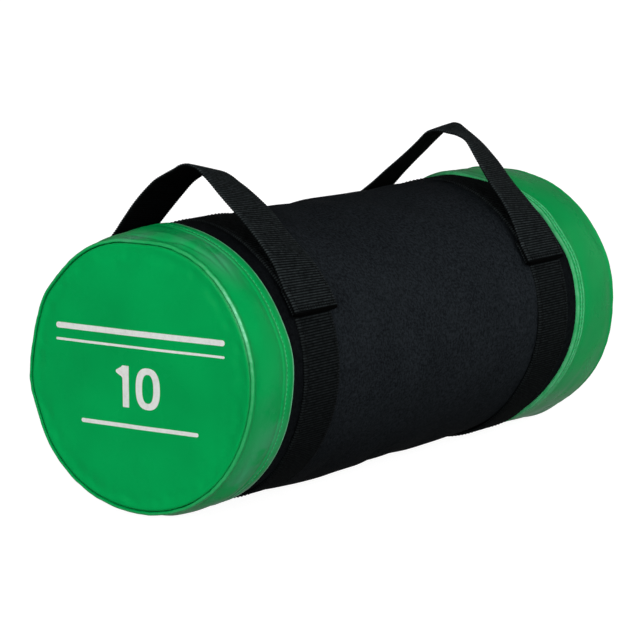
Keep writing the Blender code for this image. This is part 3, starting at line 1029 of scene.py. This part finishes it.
def zero_rows(right, up, height):
    """The ring of a plain zero."""
    turn = np.linspace(0, math.tau, 72, endpoint=False)[:, None]
    share = np.linspace(0, 1, 5)
    squared = 0.8  # below 1 makes an oval's ends squarer
    wide, tall = height * (0.36 - 0.19 * share), height * (0.5 - 0.155 * share)
    cosine, sine = np.cos(turn), np.sin(turn)
    u = right + wide * np.sign(cosine) * np.abs(cosine) ** squared
    v = up + tall * np.sign(sine) * np.abs(sine) ** squared
    return stacked(u, v)


def one_rows(right, up, height):
    """The stem and the flag of a plain one."""
    stem = height * 0.095
    v = np.linspace(-0.5, 0.5, 24)[:, None] * height
    soft = height * 0.14
    flag = height * 0.2 * step_up(v, height * 0.2, soft) * (1 - step_up(v, height * 0.36, soft))
    left = -stem - flag
    return stacked(right + left + (stem - left) * (np.linspace(-1, 1, 4) + 1) / 2, up + v)


def make_print():
    """A plain number between plain rules."""
    parts = [slab(bar_rows(*rule), False) for rule in RULES]
    parts.append(slab(one_rows(-0.0115, NUMERAL_LEVEL, NUMERAL_HEIGHT), False))
    parts.append(slab(zero_rows(0.0085, NUMERAL_LEVEL, NUMERAL_HEIGHT), True))
    starts = np.cumsum([0] + [len(points) for points, _ in parts])
    faces = np.vstack([corners + start for (_, corners), start in zip(parts, starts)])
    mesh = mesh_from("near_face_print", np.vstack([points for points, _ in parts]), faces.tolist())
    mesh.set_sharp_from_angle(angle=math.radians(40))
    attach(add_piece("near_face_print", mesh, INK), "bag")


# Webbing


def webbing_section():
    """The closed section of a strap with rounded edges: (place across it from -1 to 1, share of its half
    thickness that it stands out from its middle)."""
    face = [(-1, 0.45), (-0.985, 0.85), (-0.95, 1), (-0.8, 1), (-0.6, 1), (-0.4, 1), (-0.2, 1)]
    face = face + [(0, 1)] + [(-place, rise) for place, rise in face[::-1]]
    back = [(place, -rise) for place, rise in face[::-1]]
    return np.array(face + back)


def webbing_places(left, right, out, width, thickness, run):
    """A ribbed strap between two edge lines, with its faces set out along the outward directions."""
    across, side = webbing_section().T
    rib = np.abs(np.cos(run * math.pi / RIB_PITCH))[:, None] ** 0.9
    selvage = SELVAGE_WIDTH + 0.0004 * (rib - 0.5)
    reach = across * (1 + selvage / (width / 2) * (np.abs(across) > 0.97))
    height = side * (thickness / 2 + RIB_DEPTH * (rib - 0.6)) + WEBBING_CROWN * (1 - across**2)
    places = ((left + right)[:, None] + (right - left)[:, None] * reach[..., None]) / 2
    places += out[:, None] * height[..., None]
    places[..., 2] = np.maximum(places[..., 2], 0)
    return places


def webbing_cloth(run, width):
    across = webbing_section()[:, 0]
    return stacked(run[:, None], np.append(across, across[0]) * width / 2)


def webbing_edge():
    """1 on the edges of a strap's section and 0 between them."""
    return step_up(np.abs(webbing_section()[:, 0]), 0.9, 0.1)


def make_girth_band(name, node):
    """A ribbed belt sewn round the bag, which leans along it in places."""
    radius = BAND_OUTSIDE - WEBBING_THICKNESS / 2 - RIB_DEPTH / 2
    count = round(math.tau * radius / RIB_PITCH) * RIB_SAMPLES
    angle = all_round(count)[:, 0]
    run = np.arange(count + 1) * RIB_PITCH / RIB_SAMPLES
    middle = sum(BANDS[name]) / 2
    x = middle + varied(0, BAND_BUMPS[name], angle)
    level = settled(radius + 0.00035 * ripples(around(middle, angle, radius), 0.05, 0.16, 31), angle)
    level = np.minimum(level, radius + 0.0006) + sag(x, angle) + varied(0, BAND_DROPS[name], angle)
    left, right = (around(x + side * BAND_WIDTH / 2, angle, level) for side in (-1, 1))
    out = away_at(angle)
    places = webbing_places(left, right, out, BAND_WIDTH, WEBBING_THICKNESS, run[:-1])
    mesh = grid_mesh(node, places, webbing_cloth(run, BAND_WIDTH), True, True)
    edge = webbing_edge() + 0 * places[..., 0]
    # Painted shade: the belt is darker on its underside and on top, where the strap shades it
    shade = 0.15 + 0.6 * bump(angle, 140, 60) + 0.45 * bump(angle, 0, 42)
    set_shade(mesh, seam_depth=shade[:, None] + 0 * edge, selvage=edge)
    add_bag_piece(name + "_belt", mesh, WEBBING, node)
    rows = []
    for side in (-1, 1):
        stitched = x + side * (BAND_WIDTH / 2 - STITCH_INSET)
        path = around(stitched, angle, level + WEBBING_THICKNESS / 2 + RIB_DEPTH / 2)
        rows.append((closed(path), closed(out)))
    add_stitches(name + "_belt_stitches", rows)


def sewn_end(side, leave):
    """The strap's folded end on one side of the bag, from its hidden tip to where it leaves the bag."""
    under = BAND_OUTSIDE + STRAP_CLEARANCE + HANDLE_THICKNESS / 2
    top = under + HANDLE_THICKNESS + STRAP_CLEARANCE
    bend = (top - under) / 2
    lower = np.linspace(FOLD_TOP_ANGLE, SEWN_END_ANGLE, 8)
    upper = np.linspace(SEWN_END_ANGLE, leave, max(3, round((SEWN_END_ANGLE - leave) / 2)))
    step = np.radians((30, 60, 90, 120, 150))
    radius = np.concatenate([under + 0 * lower, under + bend - bend * np.cos(step), top + 0 * upper])
    slip = np.concatenate([0 * lower, bend * np.sin(step), 0 * upper])
    turn = np.radians(np.concatenate([lower, SEWN_END_ANGLE + 0 * step, upper]))
    y = -side * (radius * np.sin(turn) + slip * np.cos(turn))
    return np.stack([y, radius * np.cos(turn) - slip * np.sin(turn)], 1)


def make_handle(name, nodes):
    """One strap with its two folded ends."""
    low, high = STRAPS[name]
    spacing = RIB_PITCH / RIB_SAMPLES
    paths = []
    for edge in ("far", "near"):
        front, rear = HANDLE_EDGES[name][edge + "_leave"]
        line = np.array(HANDLE_EDGES[name][edge + "_edge"]) / 1000
        paths.append(even_path(np.vstack([sewn_end(1, front), line, sewn_end(-1, rear)[::-1]]), spacing))
    count = round((len(paths[0]) + len(paths[1])) / 2)
    lines = []
    for path, x in zip(paths, (high, low)):
        y, z = read_along(np.linspace(0, 1, count), np.linspace(0, 1, len(path)), path).T
        lines.append(stacked(x, y, AXIS_HEIGHT + z))
    left, right = lines
    out = unit(np.cross(np.gradient((left + right) / 2, axis=0), right - left))
    run = np.arange(count) * spacing
    places = webbing_places(left, right, out, high - low, HANDLE_THICKNESS, run)
    cloth = webbing_cloth(run, high - low)
    places, cloth = (part.swapaxes(0, 1)[:, ::-1] for part in (places, cloth))
    mesh = grid_mesh(name + "_strap", places, cloth, True, False, ends=True)
    fold = np.degrees(np.arctan2(np.abs(places[..., 1]), places[..., 2] - AXIS_HEIGHT))
    # Painted shadow at the nose of each folded end, and painted shade on the strap's underside
    under = 0.85 * (webbing_section()[:, 1:] < 0)
    shade = np.maximum(step_up(fold, SEWN_END_ANGLE - 0.5, 0.7), under)
    edge = webbing_edge()[:, None] + 0 * fold
    set_shade(mesh, seam_depth=np.append(shade, (1, 1)), selvage=np.append(edge, (1, 1)))
    piece = add_piece(name + "_strap", mesh, WEBBING)
    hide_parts(*nodes)
    x = (low + high) / 2
    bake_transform(piece)


def make_handle_stitches(name, side, node):
    """A box of stitches through a strap's folded end."""
    low, high = STRAPS[name]
    radius = BAND_OUTSIDE + 2 * (HANDLE_THICKNESS + STRAP_CLEARANCE) + RIB_DEPTH / 2
    inset = math.degrees(STITCH_INSET / radius)
    top, bottom = SEWN_TOP_ANGLE + inset, SEWN_END_ANGLE - inset / 2
    down = np.linspace(top, bottom, 60) * side
    across = np.linspace(low + STITCH_INSET, high - STITCH_INSET, 60)
    rows = [(x + 0 * down, down) for x in (across[0], across[-1])]
    rows += [(across, side * at + 0 * across) for at in (bottom, bottom - 0.6 * inset, top)]
    made = [(around(x, angle, radius), away_at(angle)) for x, angle in rows]
    add_stitches(node.replace("stitching", "stitches"), made, node)


# Studio


def make_floor():
    """A plain pale floor that keeps the bag's shadow."""
    half = 20
    corners = half * np.array([(-1, -1, 0), (1, -1, 0), (1, 1, 0), (-1, 1, 0)])
    finish = Finish("pale_floor", (FLOOR_COLOUR,) * 3, 0.9, Specular_IOR_Level=0.0)
    strength = finish.backdrop(FLOOR_GLOW, FLOOR_MIRRORED)
    glow = finish.add("Emission", {"Color": (1, 1, 1, 1), "Strength": strength})
    both = finish.add("AddShader", {0: finish.shader.outputs[0], 1: glow.outputs[0]})
    finish.give(finish.tree.nodes["Material Output"].inputs["Surface"], both.outputs[0])
    add_piece("floor", mesh_from("floor", corners, [(0, 1, 2, 3)]), finish.material)


def make_world():
    """A faint light all round, which is white behind the bag as the camera sees it."""
    world = bpy.data.worlds.new("studio")
    world.use_nodes = True
    nodes = Nodes(world.node_tree)
    background = nodes.tree.nodes["Background"]
    background.inputs["Color"].default_value = (1, 1, 1, 1)
    nodes.give(background.inputs["Strength"], nodes.backdrop(1.0, WORLD_MIRRORED, WORLD_LIGHT))
    bpy.context.scene.world = world


def add_sun(name, turn, rise, strength, spread):
    """A wide soft lamp. One behind the bag leaves no shine."""
    lamp = bpy.data.lights.new(name, "SUN")
    lamp.energy = strength
    lamp.angle = math.radians(spread)
    item = bpy.data.objects.new(name, lamp)
    item.rotation_euler = looking_from(turn, rise).to_track_quat("Z", "Y").to_euler()
    item.visible_glossy = abs(turn) <= 90
    bpy.context.scene.collection.objects.link(item)


def looking_from(turn, rise):
    turn, rise = math.radians(turn), math.radians(rise)
    return Vector((-math.sin(turn) * math.cos(rise), -math.cos(turn) * math.cos(rise), math.sin(rise)))


def make_camera():
    camera = bpy.data.objects.new("camera", bpy.data.cameras.new("camera"))
    camera.data.lens = LENS
    direction = looking_from(CAMERA_TURN, CAMERA_RISE)
    camera.location = CAMERA_AIM + direction * CAMERA_DISTANCE
    camera.rotation_euler = direction.to_track_quat("Z", "Y").to_euler()
    bpy.context.scene.collection.objects.link(camera)
    bpy.context.scene.camera = camera


def dress_inside():
    """Gives the hidden pieces their own finishes."""
    for part in frame["record"]["subparts"]:
        finish = INSIDE.get(part["material_slot"])
        if finish:
            mesh = frame["nodes"][part["node"]].data
            mesh.materials.clear()
            mesh.materials.append(finish)


def main():
    bpy.context.scene.view_settings.view_transform = "Standard"
    make_camera()
    make_floor()
    make_world()
    for name, lamp in SUNS.items():
        add_sun(name, *lamp)
    make_cover()
    make_foam()
    for name in ENDS:
        make_cap_side(name, name + "_cap_side")
        make_cap_disc(name, name + "_cap_disc")
    make_print()
    for name in ENDS:
        make_girth_band(name, name + "_girth_band")
    for name in ENDS:
        handle = name + "_handle"
        make_handle(name, [handle + part for part in ("_front_leg", "_crown", "_rear_leg")])
        make_handle_stitches(name, 1, handle + "_front_stitching")
        make_handle_stitches(name, -1, handle + "_rear_stitching")
    dress_inside()


main()
